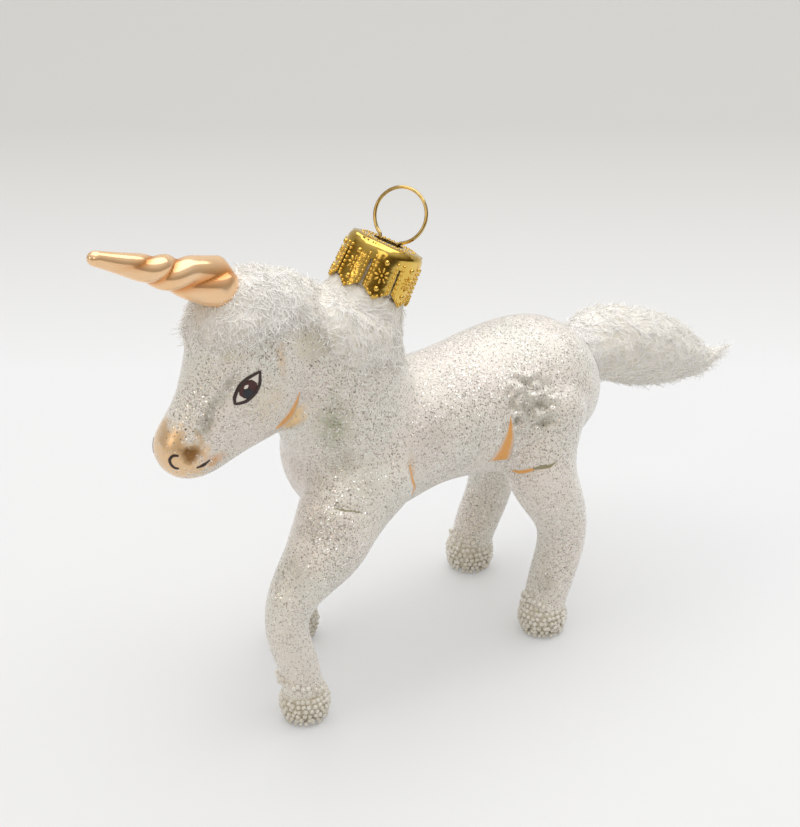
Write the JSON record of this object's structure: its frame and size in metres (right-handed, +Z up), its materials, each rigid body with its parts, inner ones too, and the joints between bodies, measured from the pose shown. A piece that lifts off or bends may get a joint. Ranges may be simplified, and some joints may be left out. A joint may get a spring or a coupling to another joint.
{
  "type": "unicorn ornament",
  "caption": "Standing unicorn ornament of blown glass with a twisted gold horn, white flocked mane and tail, bead hooves, and a gilt crown cap with a wire hanging loop.",
  "frame": {"origin": "on the standing plane, under the middle of the whole ornament's outline", "axes": "+X towards the horn, +Y towards the figure's left, +Z up"},
  "size_m": [0.1357, 0.0356, 0.091],
  "materials": {
    "glittered_glass": "silvered blown glass under satin white lacquer and fine glitter",
    "gold_glass": "satin peach-gold lacquer on glass",
    "white_flock": "matted white fibre flock",
    "bead_coat": "cream-white glass micro-beads",
    "gilt_cap": "bright stamped sheet, gold lacquered",
    "gilt_wire": "polished drawn wire"
  },
  "bodies": {
    "figure": {"torso": "glittered_glass", "neck": "glittered_glass", "head": "glittered_glass", "pike": "glittered_glass", "tail": "glittered_glass", "horn": "gold_glass", "mane_flock": "white_flock", "forelock_flock": "white_flock", "tail_flock": "white_flock", "leg_front_left": "glittered_glass", "hoof_beads_front_left": "bead_coat", "leg_front_right": "glittered_glass", "hoof_beads_front_right": "bead_coat", "leg_hind_left": "glittered_glass", "hoof_beads_hind_left": "bead_coat", "leg_hind_right": "glittered_glass", "hoof_beads_hind_right": "bead_coat"},
    "cap": {"cap": "gilt_cap"},
    "hanger": {"hanger": "gilt_wire"}
  },
  "joints": [
    {"name": "cap_pull_off", "type": "slide", "parent": "figure", "child": "cap", "axis": [-0.4909, 0, 0.8712], "range_m": [0, 0.018]},
    {"name": "hanger_swivel", "type": "hinge", "parent": "cap", "child": "hanger", "pos_m": [0.01146, 0, 0.07837], "axis": [-0.4909, 0, 0.8712], "continuous": true}
  ]
}
